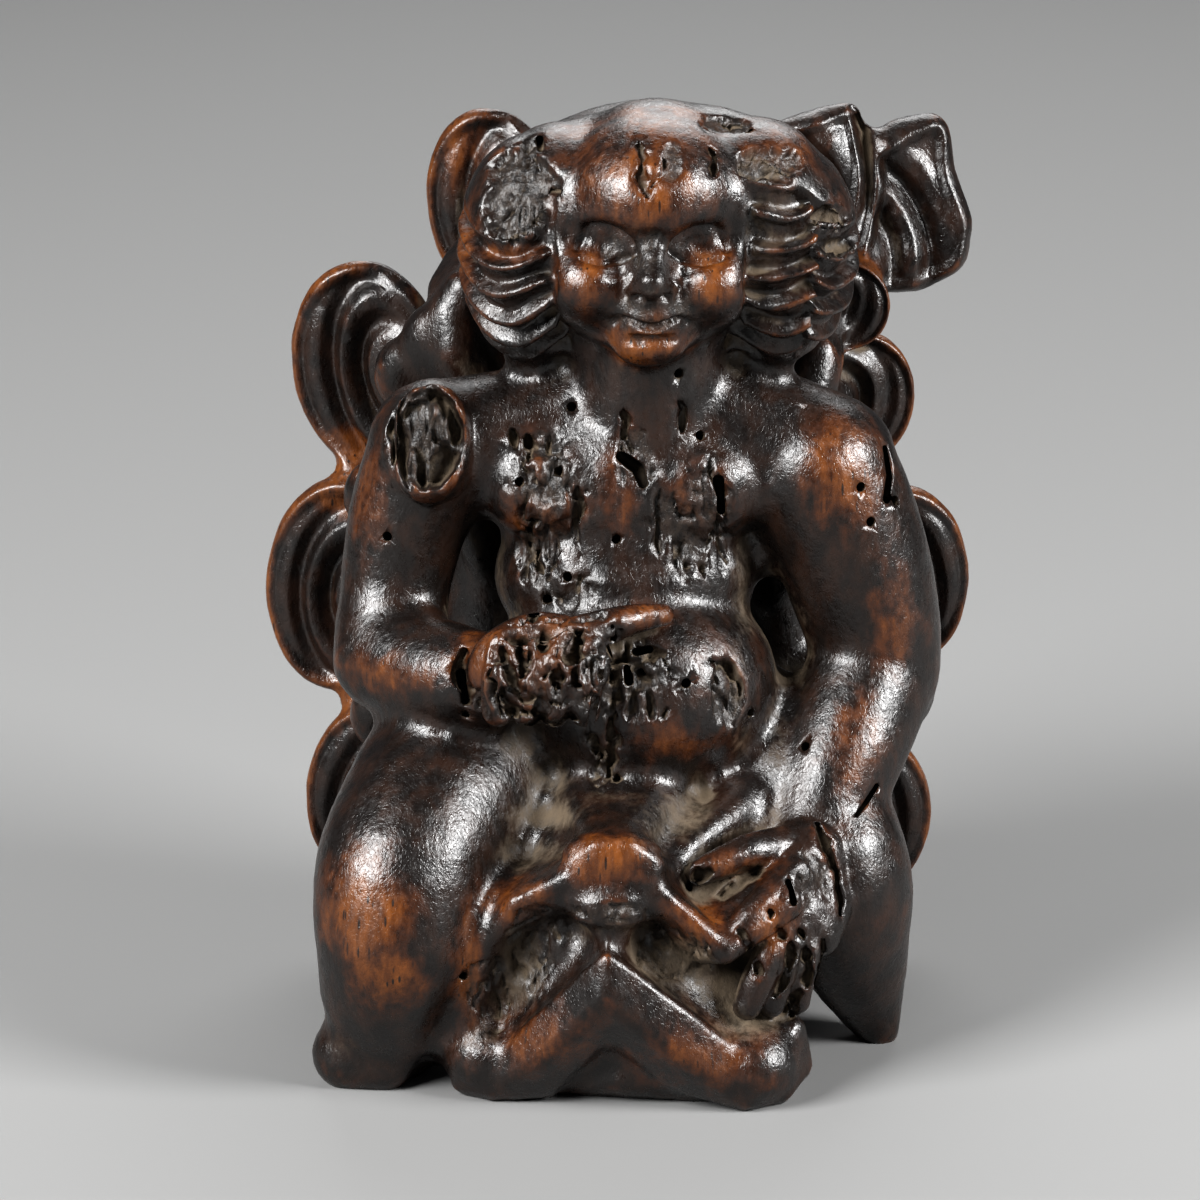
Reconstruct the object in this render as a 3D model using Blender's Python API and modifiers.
"""A small carved wooden putto seated in front of scrolled leaves, as one solid piece of wood.

Metres, +Z up. The figure faces -Y, its own right hand is at -X, and the origin is on the
standing surface, below the middle of the carving. Every place and thickness of the carving is
written in units of which HEIGHT_UNITS make up the height, so the whole figure follows HEIGHT.
"""

import math

import bmesh
import bpy
from mathutils import Euler, Matrix, Vector

# Driving dimensions
HEIGHT = 0.110  # standing surface to the crown of the head
HEIGHT_UNITS = 110.0  # the same height in the carver's units, about 1 mm each
UNIT = HEIGHT / HEIGHT_UNITS
FLESH_FILLET = 1.1 * UNIT  # rounding where limbs and body meet
FACET_COUNT = 9800  # triangles of the finished solid
VOXEL = 0.62 * UNIT  # grain of the clay that the forms are joined in

WALNUT = (0.075, 0.032, 0.018, 1.0)


def units(point):
    """A point or a set of radii in carver's units, as metres."""
    return Vector(point) * UNIT


def smooth_path(points, steps):
    """Points on a smooth curve through the given ones, (x, y, z, radius) each."""
    padded = [points[0], *points, points[-1]]
    path = []
    for before, start, end, after in zip(padded, padded[1:], padded[2:], padded[3:]):
        for step in range(steps):
            t = step / steps
            path.append(
                [
                    0.5
                    * (
                        2 * s
                        + (e - b) * t
                        + (2 * b - 5 * s + 4 * e - a) * t**2
                        + (3 * s - b - 3 * e + a) * t**3
                    )
                    for b, s, e, a in zip(before, start, end, after)
                ]
            )
    path.append(list(points[-1]))
    return path


class Clay:
    """A heap of closed, overlapping shapes that are later joined into one skin."""

    def __init__(self):
        self.lumps = []

    def keep(self, lump):
        mesh = bpy.data.meshes.new("lump")
        lump.to_mesh(mesh)
        lump.free()
        self.lumps.append(mesh)

    def ball(self, centre, radii, turn=(0, 0, 0)):
        """An ellipsoid, turned by degrees about X, Y and Z."""
        place = (
            Matrix.Translation(units(centre))
            @ Euler([math.radians(angle) for angle in turn]).to_matrix().to_4x4()
            @ Matrix.Diagonal((*units(radii), 1.0))
        )
        lump = bmesh.new()
        bmesh.ops.create_uvsphere(lump, u_segments=28, v_segments=18, radius=1.0, matrix=place)
        self.keep(lump)

    def hull(self, *beads):
        """The convex skin round a few beads, (x, y, z, radius) each."""
        lump = bmesh.new()
        for x, y, z, radius in beads:
            place = Matrix.Translation(units((x, y, z)))
            bmesh.ops.create_icosphere(lump, subdivisions=2, radius=radius * UNIT, matrix=place)
        bmesh.ops.delete(lump, geom=lump.faces[:], context="FACES_ONLY")
        bmesh.ops.delete(lump, geom=lump.edges[:], context="EDGES_FACES")
        made = bmesh.ops.convex_hull(lump, input=lump.verts[:])
        bmesh.ops.delete(lump, geom=made["geom_interior"], context="VERTS")
        self.keep(lump)

    def limb(self, *points, steps=4):
        """A round rod of changing thickness along a smooth curve, (x, y, z, radius) each."""
        path = smooth_path(points, steps)
        for start, end in zip(path, path[1:]):
            self.hull(start, end)

    def to_object(self, name, collection):
        heap = bmesh.new()
        for mesh in self.lumps:
            heap.from_mesh(mesh)
            bpy.data.meshes.remove(mesh)
        mesh = bpy.data.meshes.new(name)
        heap.to_mesh(mesh)
        heap.free()
        made = bpy.data.objects.new(name, mesh)
        collection.objects.link(made)
        return made


def torso(clay):
    clay.ball((1.0, -4.0, 65.0), (15.6, 11.4, 12.5))
    clay.ball((1.2, -5.0, 55.0), (15.2, 11.8, 11.0))
    clay.ball((2.3, -9.0, 43.0), (16.4, 15.2, 13.2))
    clay.ball((1.5, -2.0, 33.0), (19.5, 12.0, 9.5))
    for breast_x in (-6.4, 8.6):
        clay.ball((breast_x, -9.0, 66.2), (8.8, 6.2, 6.8))
    clay.limb((-19.0, -4.5, 70.0, 7.6), (-6.0, -3.5, 72.0, 7.6), (3.8, -3.5, 74.0, 7.8),
              (14.0, -3.5, 72.0, 7.8), (24.0, -4.5, 67.5, 8.6))
    clay.limb((3.6, -3.5, 72.0, 10.0), (3.8, -5.0, 80.0, 8.8), (4.0, -6.0, 86.0, 8.6))


def right_arm(clay):
    """Bent across the belly. It is on the left in a front view."""
    clay.limb((-20.5, -5.5, 70.0, 8.0), (-24.0, -6.0, 61.0, 6.9), (-25.5, -7.0, 53.0, 6.4),
              (-26.0, -10.0, 47.0, 6.6))
    clay.limb((-26.0, -10.5, 46.5, 6.6), (-19.5, -17.0, 46.0, 6.2), (-13.0, -22.0, 47.0, 5.0),
              (-8.0, -24.0, 48.0, 4.4))


def left_arm(clay):
    """Hanging down to the knee."""
    clay.limb((23.5, -5.0, 67.0, 9.2), (27.2, -5.0, 58.0, 8.8), (29.8, -5.0, 49.0, 8.0),
              (30.4, -5.0, 43.0, 7.4))
    clay.limb((29.2, -7.0, 42.0, 7.6), (26.2, -12.0, 35.5, 7.3), (23.0, -17.5, 29.0, 5.6),
              (21.0, -21.0, 25.0, 4.6))
    clay.ball((31.0, -3.0, 41.0), (6.6, 6.0, 7.0))


def legs(clay):
    clay.limb((-13.0, -4.0, 35.0, 11.0), (-18.5, -14.0, 32.5, 11.2), (-23.6, -24.5, 25.6, 10.4),
              (-24.6, -27.5, 19.0, 9.6))
    clay.limb((-24.8, -27.5, 17.5, 9.2), (-26.2, -25.4, 9.5, 7.2), (-25.8, -22.4, 4.0, 5.4))
    clay.hull((-27.4, -19.0, 3.6, 4.6), (-30.4, -25.6, 3.4, 4.4), (-26.4, -27.0, 2.8, 3.4),
              (-28.8, -22.6, 6.6, 4.2))
    clay.limb((15.0, -4.0, 34.0, 10.0), (22.0, -12.0, 29.0, 9.0), (25.6, -17.0, 22.0, 8.6),
              (27.4, -14.0, 13.0, 6.8), (29.6, -11.0, 5.0, 4.2), (30.8, -11.5, 1.6, 2.6))


def seat(clay):
    """The rounded mass that the figure sits on, and the cloth across its lap."""
    clay.ball((1.5, 0.0, 24.0), (19.0, 14.0, 13.0))
    clay.hull((-9.0, -14.0, 6.0, 9.0), (11.0, -14.0, 6.0, 9.0), (-9.0, 14.0, 6.0, 12.0),
              (12.0, 14.0, 6.0, 12.0), (-6.0, -12.0, 20.0, 9.0), (8.0, -12.0, 20.0, 9.0))
    clay.hull((-7.0, -20.0, 23.0, 5.0), (9.0, -20.0, 23.4, 5.0), (-1.0, -32.0, 24.0, 3.6))
    clay.limb((12.0, -21.0, 26.6, 2.6), (7.0, -28.0, 26.0, 2.2), (3.0, -33.0, 27.4, 2.0))
    clay.limb((-10.0, -20.0, 26.0, 2.6), (-6.0, -28.0, 25.0, 2.2), (-4.0, -33.0, 26.6, 2.0))
    clay.hull((-8.0, -17.0, 28.0, 4.0), (10.0, -17.0, 28.0, 4.0), (-3.0, -31.0, 25.8, 3.0),
              (3.0, -31.0, 25.8, 3.0))
    clay.limb((16.0, -16.0, 31.0, 3.4), (11.6, -22.0, 29.6, 2.8), (7.6, -27.0, 28.0, 2.0))


def skull(clay):
    clay.ball((4.6, -4.5, 96.8), (12.0, 14.0, 13.4))
    clay.ball((4.4, -8.6, 100.4), (11.0, 12.0, 9.0))
    clay.ball((3.9, -10.0, 90.0), (10.6, 9.6, 8.0))
    for cheek_x in (-2.8, 10.6):
        clay.ball((cheek_x, -14.2, 91.2), (5.2, 5.2, 5.4))
    for jaw_x in (-1.0, 8.8):
        clay.ball((jaw_x, -12.4, 88.0), (5.6, 5.4, 5.2))
    clay.ball((3.8, -16.0, 85.2), (4.6, 4.0, 3.4))


def face(clay):
    clay.limb((4.0, -18.4, 96.5, 1.6), (4.0, -20.4, 93.8, 1.8), (4.0, -21.4, 92.1, 2.0))
    for side in (-1, 1):
        clay.ball((4.0 + 2.1 * side, -19.8, 91.6), (1.6, 1.8, 1.4))
        clay.ball((4.0 + 5.2 * side, -16.6, 96.4), (3.3, 2.5, 1.9))
        clay.limb((4.0 + 1.8 * side, -19.0, 98.6, 1.5), (4.0 + 5.4 * side, -19.0, 99.6, 1.8),
                  (4.0 + 9.0 * side, -15.6, 98.4, 1.6))
    clay.limb((1.0, -18.7, 88.8, 0.9), (3.9, -20.1, 89.4, 1.3), (6.8, -18.7, 88.8, 0.9))
    clay.limb((1.5, -18.5, 87.4, 0.9), (3.9, -19.6, 87.0, 1.3), (6.3, -18.5, 87.4, 0.9))


def hair_masses(clay):
    clay.ball((-9.6, -5.5, 93.3), (7.4, 10.5, 12.2))
    clay.ball((-5.8, -4.5, 99.5), (8.4, 11.0, 8.0))
    clay.ball((15.6, -5.2, 99.6), (8.8, 11.0, 8.6))
    clay.ball((18.8, -5.0, 92.5), (8.0, 10.5, 11.4))
    clay.ball((4.6, 2.0, 95.6), (19.0, 11.5, 13.4))
    clay.ball((6.3, -2.6, 95.2), (20.8, 11.4, 14.0))


def lock_rings(clay, centre, radii, lowest, highest, pitch, thickness, sweep):
    """Locks of hair as hanging rings round an egg-shaped side of the bob."""
    first, last = sweep
    sag = 2.0
    for number in range(int((highest - lowest) / pitch) + 1):
        height = lowest + number * pitch
        narrowing = math.sqrt(max(0.05, 1 - ((height - centre[2]) / radii[2]) ** 2))
        points = []
        for step in range(9):
            angle = math.radians(first + (last - first) * step / 8)
            taper = 0.55 + 0.45 * math.sin(math.pi * step / 8)
            points.append(
                (
                    centre[0] + radii[0] * narrowing * math.cos(angle),
                    centre[1] + radii[1] * narrowing * math.sin(angle),
                    height + sag * math.cos(2 * angle),
                    thickness * taper,
                )
            )
        clay.limb(*points, steps=2)


def hair_locks(clay):
    lock_rings(clay, (-9.6, -5.5, 93.3), (7.6, 10.7, 12.6), 83.0, 92.5, 2.4, 1.4, (-20, -230))
    lock_rings(clay, (18.4, -5.0, 94.3), (8.4, 10.9, 13.2), 83.4, 103.0, 3.2, 1.8, (-160, 60))


def right_hand(clay):
    clay.ball((-8.4, -24.0, 48.8), (8.4, 4.0, 6.4), (0, 0, 12))
    clay.limb((-5.0, -25.4, 52.6, 2.4), (0.8, -23.4, 54.2, 2.1), (6.0, -20.2, 54.4, 1.7))
    for finger in range(4):
        x = -12.6 + 3.2 * finger
        clay.limb((x, -26.0, 52.0, 2.0), (x - 0.4, -27.8, 48.4, 2.1), (x - 0.6, -26.6, 44.6, 1.9))


def left_hand(clay):
    """Its thumb lies on the lap and its fingers hang over the folded cloth."""
    clay.hull((21.8, -22.5, 26.0, 4.8), (18.2, -29.4, 24.2, 2.6), (22.8, -27.6, 18.6, 2.8),
              (24.0, -23.6, 21.6, 3.6))
    clay.limb((20.4, -28.0, 25.8, 2.4), (16.2, -32.8, 23.4, 2.1), (12.4, -35.2, 19.8, 1.8))
    for finger in range(3):
        clay.limb((19.2 + 1.7 * finger, -30.4 + 1.3 * finger, 21.6 - 0.8 * finger, 2.2),
                  (16.8 + 2.2 * finger, -33.2 + 1.5 * finger, 16.8 - 0.4 * finger, 2.1),
                  (14.8 + 2.8 * finger, -33.6 + 1.8 * finger, 12.0 - 0.3 * finger, 1.8))
    clay.limb((20.4, -23.6, 27.8, 2.6), (15.0, -27.8, 28.2, 2.2), (9.4, -30.6, 26.8, 1.8))


def shoulder_stump(clay):
    """What is left of something broken off the right shoulder."""
    clay.hull((-20.9, -12.0, 69.2, 4.2), (-20.9, -12.0, 74.6, 4.0), (-20.0, -6.0, 69.0, 6.0))


def drapery(clay):
    """The folded cloth between the knees: an upper hem, a hollow, and a lower hem like a gable."""
    core = (0.8, -18.0, 19.0, 7.0)
    clay.hull((-4.8, -34.8, 29.4, 1.6), (-3.0, -35.4, 31.4, 1.6), (2.2, -35.4, 31.4, 1.6),
              (4.2, -34.8, 29.2, 1.6), (-4.2, -35.2, 27.2, 1.5), (3.4, -35.2, 27.0, 1.5), core)
    clay.ball((-0.6, -34.8, 24.5), (4.9, 3.6, 3.0))
    clay.limb((-0.8, -36.2, 18.6, 1.6), (-0.3, -34.4, 21.0, 2.2), (-0.4, -33.4, 23.6, 2.6))
    upper = [(-5.4, -35.0, 27.4, 1.6), (-11.0, -33.4, 24.0, 1.5), (-14.4, -32.2, 19.0, 1.5),
             (-15.9, -31.2, 13.6, 1.5), (-17.0, -30.2, 8.0, 1.6), (-16.4, -30.2, 4.4, 1.8)]
    for start, end in zip(upper, upper[1:]):
        backs = [(x * 1.10, y + 7.0, max(1.5, z - 1.5), 2.4) for x, y, z, _ in (start, end)]
        clay.hull(start, end, *backs)
    notch = [(3.8, -35.0, 26.6, 1.6), (8.2, -35.6, 22.8, 1.6), (12.2, -36.0, 19.4, 1.7),
             (19.0, -31.4, 23.6, 2.4)]
    for start, end in zip(notch, notch[1:]):
        clay.hull(start, end, core)
    clay.hull((-6.0, -34.6, 26.4, 1.4), (-11.0, -32.4, 22.6, 1.4), (-8.0, -26.0, 20.0, 4.0), core)
    lower = [(-16.4, -30.0, 4.6, 1.8), (-13.4, -31.8, 4.0, 1.5), (-8.4, -34.8, 10.4, 1.4),
             (-0.9, -38.2, 18.9, 1.3), (7.2, -36.8, 12.0, 1.4), (14.4, -35.0, 5.4, 1.5),
             (17.8, -33.0, 4.8, 1.7), (19.8, -30.6, 8.0, 1.8)]
    for start, end in zip(lower, lower[1:]):
        beads = [start, end]
        for x, y, z, _ in (start, end):
            beads.append((x * 1.02, y + 0.2, max(1.0, z - 4.0), 1.8))
            beads.append((x * 0.96, y + 2.8, max(1.0, z - 7.5), 2.4))
            beads.append((x * 0.90, y + 8.0, max(1.0, z - 3.5), 2.6))
        clay.hull(*beads)
    clay.hull((-0.6, -36.4, 16.4, 1.6), (-11.6, -30.6, 5.8, 2.4), (12.4, -33.0, 6.0, 2.4),
              (-0.6, -29.6, 19.8, 3.4), (-8.0, -24.0, 10.0, 4.0), (9.0, -25.0, 10.0, 4.0))
    clay.hull((12.6, -32.6, 6.4, 2.4), (6.4, -30.2, 14.6, 2.2), (14.4, -27.6, 12.6, 2.6))
    clay.ball((-14.2, -27.4, 4.6), (5.8, 6.6, 5.2))
    clay.ball((15.4, -30.8, 4.6), (5.9, 6.8, 5.4))
    clay.hull((-14.0, -26.0, 3.0, 4.0), (-8.0, -20.0, 3.0, 4.0), (-17.0, -20.0, 8.0, 4.0))
    clay.hull((15.0, -28.0, 3.0, 4.4), (9.0, -20.0, 3.0, 4.0), (17.6, -26.0, 14.0, 4.0))


class LeafEnd:
    """A leaf end rolled like a shell, its open side towards the figure. side is -1 or 1."""

    def __init__(self, centre, half_width, half_height, side, turn, lean=0.0):
        self.centre = Vector(centre)
        self.half_width = half_width
        self.half_height = half_height
        self.side = side
        self.turn = turn * side
        self.lean = lean * side

    def place(self, out, forward, up, thickness):
        """Shares of the leaf's half sizes outwards and up, units forward, as a bead."""
        tilt = Matrix.Rotation(math.radians(self.lean), 3, "Y")
        yaw = Matrix.Rotation(math.radians(self.turn), 3, "Z")
        local = Vector((out * self.half_width * self.side, -forward, up * self.half_height))
        return (*(self.centre + yaw @ tilt @ local), thickness)

    def crescent(self, clay, share, shift, forward, thickness):
        points = []
        for step in range(9):
            angle = math.radians(-120 + 240 * step / 8)
            taper = 0.55 + 0.45 * math.sin(math.pi * step / 8)
            points.append(
                self.place(
                    share * math.cos(angle) + shift,
                    forward,
                    share * math.sin(angle),
                    thickness * taper,
                )
            )
        clay.limb(*points, steps=2)

    def carve(self, clay):
        """The round blade with its ridges, and the shell behind that runs to the stem."""
        size = math.sqrt(self.half_width * self.half_height)
        root = (2.0 + 4.0 * self.side, 25.0, max(6.0, self.centre.z - 17.0), 2.6)
        clay.ball(self.place(0, -2.4, 0, 0)[:3], (self.half_width * 0.94, 4.2, self.half_height * 0.94),
                  (0, self.lean, self.turn))
        shell = []
        for step in range(8):
            angle = math.radians(45 * step)
            shell.append(self.place(0.5 * math.cos(angle), -4.5, 0.5 * math.sin(angle), 2.2))
        clay.hull(*shell, root)
        self.crescent(clay, 0.80, 0.0, 0.6, 0.20 * size)
        self.crescent(clay, 0.42, -0.14, 1.2, 0.17 * size)
        clay.ball(self.place(-0.25, 1.0, 0.0, 0)[:3], (0.18 * size, 0.16 * size, 0.26 * size))
        vein_start = (root[0], root[1] + 2.2, root[2] + 1.0, 1.6)
        vein_end = self.place(0.35, -7.0, 0.25, 1.0)
        vein_middle = [(a + b) / 2 for a, b in zip(vein_start, vein_end)]
        vein_middle[1] += 1.2
        vein_middle[2] -= 1.5
        clay.limb(vein_start, vein_middle, vein_end, steps=3)
        for depth, drop in ((8.5, 19.0), (14.0, 15.0)):
            foot = (2.0 + 17.0 * self.side, depth, max(6.0, self.centre.z - drop), 2.8)
            elbow = (2.0 + 21.0 * self.side, depth, max(12.0, self.centre.z - drop * 0.45), 3.2)
            clay.limb(foot, elbow, self.place(-0.55, 0.5, 0.1, 2.8), steps=3)


LEAF_ENDS = (
    # centre, half width, half height, side, turn, lean
    LeafEnd((-14.0, 26.0, 91.0), 9.0, 13.2, -1, 10, 14),
    LeafEnd((-30.0, 24.0, 72.5), 10.0, 13.4, -1, 15, 8),
    LeafEnd((-33.8, 22.0, 46.0), 9.6, 13.8, -1, 15, -6),
    LeafEnd((-30.0, 20.0, 20.5), 8.6, 12.0, -1, 15, -12),
    LeafEnd((27.5, 15.0, 82.0), 5.6, 5.6, 1, 10, 20),
    LeafEnd((29.0, 22.0, 69.0), 8.0, 9.0, 1, 15, 15),
    LeafEnd((35.3, 22.0, 47.0), 8.8, 12.0, 1, 15, -4),
    LeafEnd((31.0, 20.0, 18.0), 8.8, 11.0, 1, 15, -12),
)


def pointed_leaf(clay):
    """The open leaf with two points beside the left of the head."""
    dish = [(30.0, 24.0, 88.0, 3.0), (31.0, 26.0, 98.0, 2.4), (38.6, 29.0, 101.4, 1.4),
            (40.0, 28.0, 95.0, 1.6), (41.6, 26.0, 89.0, 1.6), (37.0, 25.0, 83.6, 2.6)]
    clay.hull(*[(x, y + 3.0, z, r) for x, y, z, r in dish])
    clay.limb((30.5, 24.0, 91.5, 2.0), (33.6, 24.6, 98.0, 1.8), (39.2, 27.0, 102.0, 1.2), steps=3)
    clay.limb((31.0, 22.0, 84.5, 2.2), (37.0, 22.0, 82.6, 2.4), (42.4, 24.0, 87.8, 1.4), steps=3)
    clay.limb((39.4, 27.0, 101.6, 1.2), (40.0, 26.5, 95.0, 1.1), (42.4, 24.6, 88.4, 1.3), steps=3)
    clay.limb((34.4, 23.6, 95.5, 1.1), (37.8, 23.4, 91.6, 1.4), (37.0, 22.4, 86.6, 1.2), steps=3)
    clay.limb((31.6, 22.6, 92.5, 1.1), (34.0, 22.2, 89.6, 1.4), (33.4, 22.0, 86.8, 1.2), steps=3)


def crown_leaf(clay):
    """The leaf whose point stands up behind the left of the crown."""
    clay.hull((18.0, 24.0, 97.0, 4.0), (21.0, 27.0, 101.0, 2.4), (27.6, 28.0, 102.0, 1.6),
              (27.8, 26.0, 95.0, 2.2), (24.0, 24.0, 90.0, 4.0))
    clay.limb((19.0, 22.0, 100.0, 1.8), (23.0, 23.0, 102.2, 1.6), (28.0, 25.0, 103.0, 1.2), steps=3)
    clay.limb((28.2, 25.0, 102.4, 1.2), (28.6, 24.0, 97.0, 1.6), (26.0, 22.0, 92.0, 2.0), steps=3)
    clay.limb((21.0, 21.6, 98.6, 1.3), (24.0, 21.6, 97.4, 1.5), (24.0, 21.6, 93.6, 1.4), steps=3)


def backing(clay):
    """The wall of foliage behind the figure, with the stem up its back."""
    rows = ((8.0, 14.5, 8.0), (40.0, 15.5, 7.5), (72.0, 13.0, 7.0), (88.0, 9.0, 6.0))
    for (low, low_half, low_round), (high, high_half, high_round) in zip(rows, rows[1:]):
        beads = []
        for z, half, rounding in ((low, low_half, low_round), (high, high_half, high_round)):
            for side in (-1, 1):
                beads.append((2.0 + half * side, 11.0 + 0.06 * z, z, rounding))
                beads.append((2.0 + (half + 5.0) * side, 17.0 + 0.06 * z, z, rounding * 0.75))
        clay.hull(*beads)
    clay.hull((-4.0, 6.0, 92.0, 7.0), (12.0, 6.0, 92.0, 7.0), (4.0, 19.0, 84.0, 7.0))
    clay.limb((1.6, 25.0, 3.0, 4.8), (1.6, 26.0, 30.0, 4.4), (2.0, 26.0, 60.0, 4.0),
              (3.6, 27.0, 94.0, 3.0), steps=3)


def small_curls(clay):
    """The little shoots that fill the corners between the leaf ends."""
    for x, y, z, size in ((-21.0, 11.0, 79.0, 3.8), (-17.0, 10.0, 84.0, 3.2),
                          (-24.5, 13.0, 75.0, 3.4), (-28.5, 15.0, 59.5, 3.4),
                          (-28.0, 14.0, 33.0, 3.4), (27.5, 15.0, 58.5, 3.4),
                          (29.0, 14.0, 33.0, 3.4)):
        inward = -math.copysign(1.0, x)
        clay.limb((x + 6.0 * inward, y + 3.0, z - 7.0, size), (x, y, z - 2.0, size),
                  (x - 0.4 * inward, y - 1.5, z + 1.5, size * 0.85),
                  (x + 2.4 * inward, y - 1.5, z + 2.2, size * 0.5), steps=3)


def foliage(clay):
    backing(clay)
    small_curls(clay)
    pointed_leaf(clay)
    crown_leaf(clay)
    for leaf in LEAF_ENDS:
        leaf.carve(clay)


def add_remesh(target, grain):
    remesh = target.modifiers.new("join", "REMESH")
    remesh.mode = "VOXEL"
    remesh.voxel_size = grain
    remesh.use_smooth_shade = True


def add_offset(target, distance):
    offset = target.modifiers.new("offset", "DISPLACE")
    offset.mid_level = 0.0
    offset.strength = distance


def applied(source):
    """The object's mesh with its modifiers worked in."""
    bpy.context.view_layer.update()
    graph = bpy.context.evaluated_depsgraph_get()
    mesh = bpy.data.meshes.new_from_object(source.evaluated_get(graph))
    bpy.data.objects.remove(source)
    return mesh


def outer_skin(mesh):
    """Drops every island of the mesh but the largest, so no sealed hollow is left inside."""
    skin = bmesh.new()
    skin.from_mesh(mesh)
    islands = []
    unseen = set(skin.verts)
    while unseen:
        island = [unseen.pop()]
        for vert in island:
            for edge in vert.link_edges:
                other = edge.other_vert(vert)
                if other in unseen:
                    unseen.remove(other)
                    island.append(other)
        islands.append(island)
    islands.sort(key=len)
    for island in islands[:-1]:
        bmesh.ops.delete(skin, geom=island, context="VERTS")
    skin.to_mesh(mesh)
    skin.free()
    return mesh


def standing(mesh):
    """Moves the carving over the origin, the crown HEIGHT above the standing surface."""
    low = [min(v.co[axis] for v in mesh.vertices) for axis in range(3)]
    high = [max(v.co[axis] for v in mesh.vertices) for axis in range(3)]
    shift = Vector((-(low[0] + high[0]) / 2, -(low[1] + high[1]) / 2, HEIGHT - high[2]))
    mesh.transform(Matrix.Translation(shift))
    return mesh


def ground_block(collection):
    """What the saw takes off below the standing surface."""
    ground = bmesh.new()
    size = 2.0 * HEIGHT
    place = Matrix.Translation((0, 0, -size / 2)) @ Matrix.Diagonal((size, size, size, 1.0))
    bmesh.ops.create_cube(ground, size=1.0, matrix=place)
    mesh = bpy.data.meshes.new("ground_block")
    ground.to_mesh(mesh)
    ground.free()
    block = bpy.data.objects.new("ground_block", mesh)
    block.hide_render = True
    block.display_type = "WIRE"
    collection.objects.link(block)
    return block


def main():
    for old in list(bpy.data.objects):
        bpy.data.objects.remove(old)
    carving = bpy.data.collections.new("carved_putto")
    cutters = bpy.data.collections.new("cutters")
    bpy.context.scene.collection.children.link(carving)
    bpy.context.scene.collection.children.link(cutters)
    flesh_clay = Clay()
    for form in (torso, right_arm, left_arm, legs, seat, skull, hair_masses):
        form(flesh_clay)
    flesh = flesh_clay.to_object("flesh", carving)
    add_remesh(flesh, VOXEL)
    add_offset(flesh, FLESH_FILLET)
    add_remesh(flesh, VOXEL)
    add_offset(flesh, -FLESH_FILLET)
    clay = Clay()
    clay.lumps.append(applied(flesh))
    for form in (face, hair_locks, right_hand, left_hand, shoulder_stump, drapery, foliage):
        form(clay)
    rough = clay.to_object("rough", carving)
    add_remesh(rough, VOXEL)
    smooth = rough.modifiers.new("soften", "SMOOTH")
    smooth.factor = 0.5
    smooth.iterations = 2
    skin = bpy.data.objects.new("skin", outer_skin(applied(rough)))
    carving.objects.link(skin)
    facets = skin.modifiers.new("facets", "DECIMATE")
    facets.ratio = FACET_COUNT / (2 * len(skin.data.polygons))
    putto = bpy.data.objects.new("putto", standing(applied(skin)))
    carving.objects.link(putto)
    sawn = putto.modifiers.new("sawn_underside", "BOOLEAN")
    sawn.operation = "DIFFERENCE"
    sawn.solver = "EXACT"
    sawn.object = ground_block(cutters)
    material = bpy.data.materials.new("walnut")
    material.use_nodes = True
    finish = material.node_tree.nodes["Principled BSDF"]
    finish.inputs["Base Color"].default_value = WALNUT
    finish.inputs["Roughness"].default_value = 0.35
    putto.data.materials.append(material)


main()
